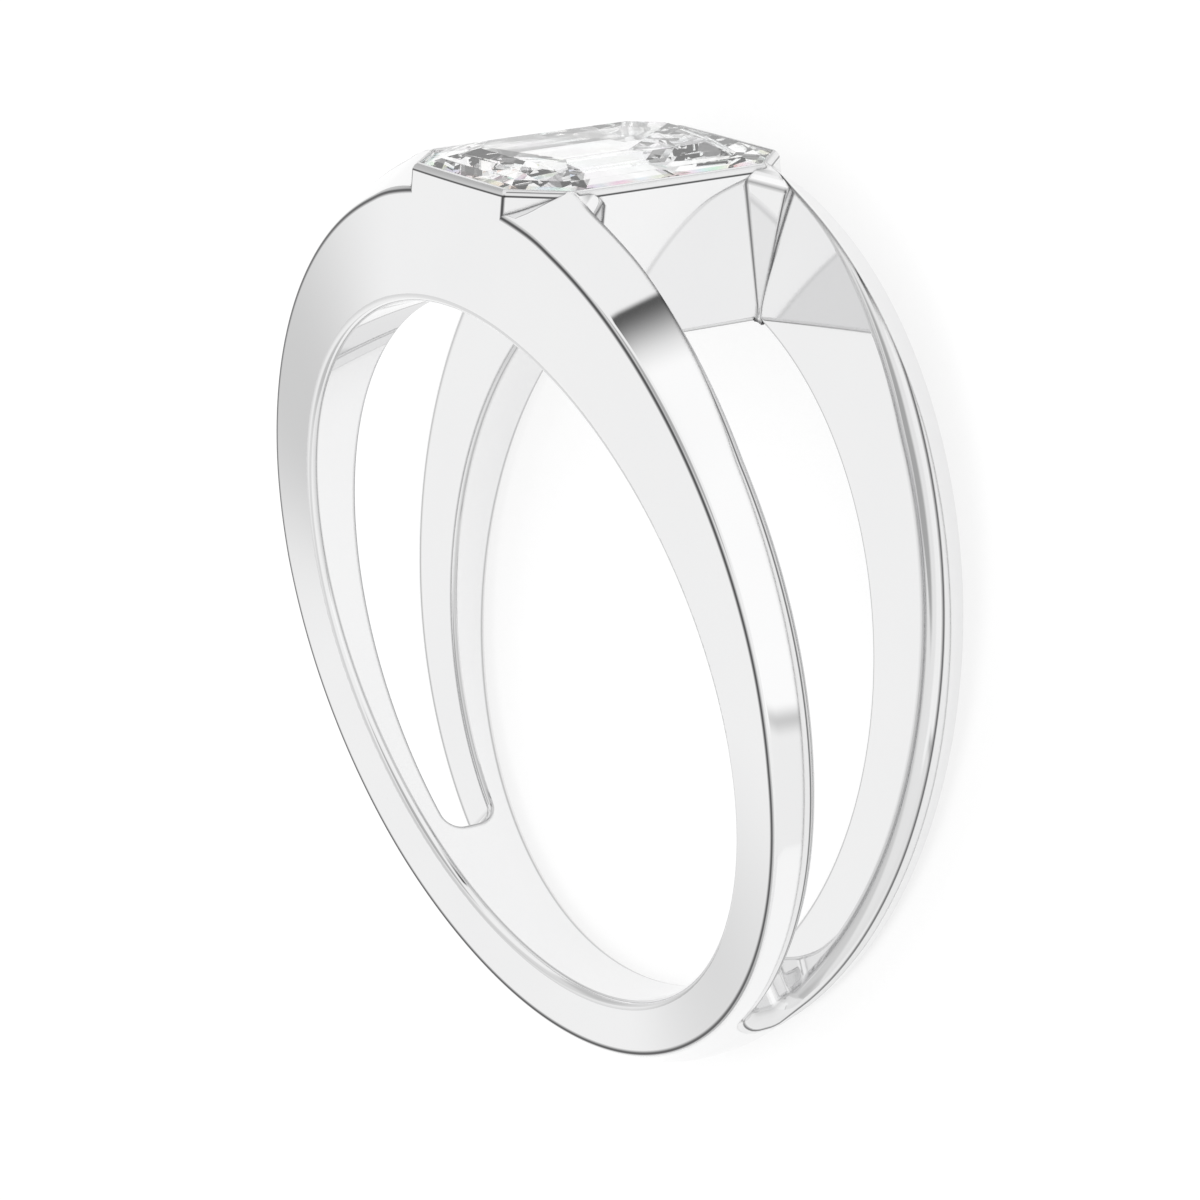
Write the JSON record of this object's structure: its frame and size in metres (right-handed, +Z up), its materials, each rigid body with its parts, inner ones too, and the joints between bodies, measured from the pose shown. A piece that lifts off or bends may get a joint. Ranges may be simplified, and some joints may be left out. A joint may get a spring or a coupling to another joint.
{
  "type": "split shank ring",
  "caption": "Polished ring whose band splits into two flat-sided branches that rise to a full bezel head with an emerald-cut stone.",
  "frame": {"origin": "middle of the ring's bounding box, on the surface that it lies on", "axes": "+X across the finger hole, +Y from the bottom of the band towards the head, +Z up from the surface; the finger hole runs along Z but leans 9.9 degrees"},
  "size_m": [0.0214, 0.022, 0.0085],
  "materials": {
    "white_gold": "mirror polish",
    "clear_stone": "faceted, colourless"
  },
  "bodies": {
    "root": {"split_shank": "white_gold", "stone": "clear_stone"}
  },
  "joints": []
}
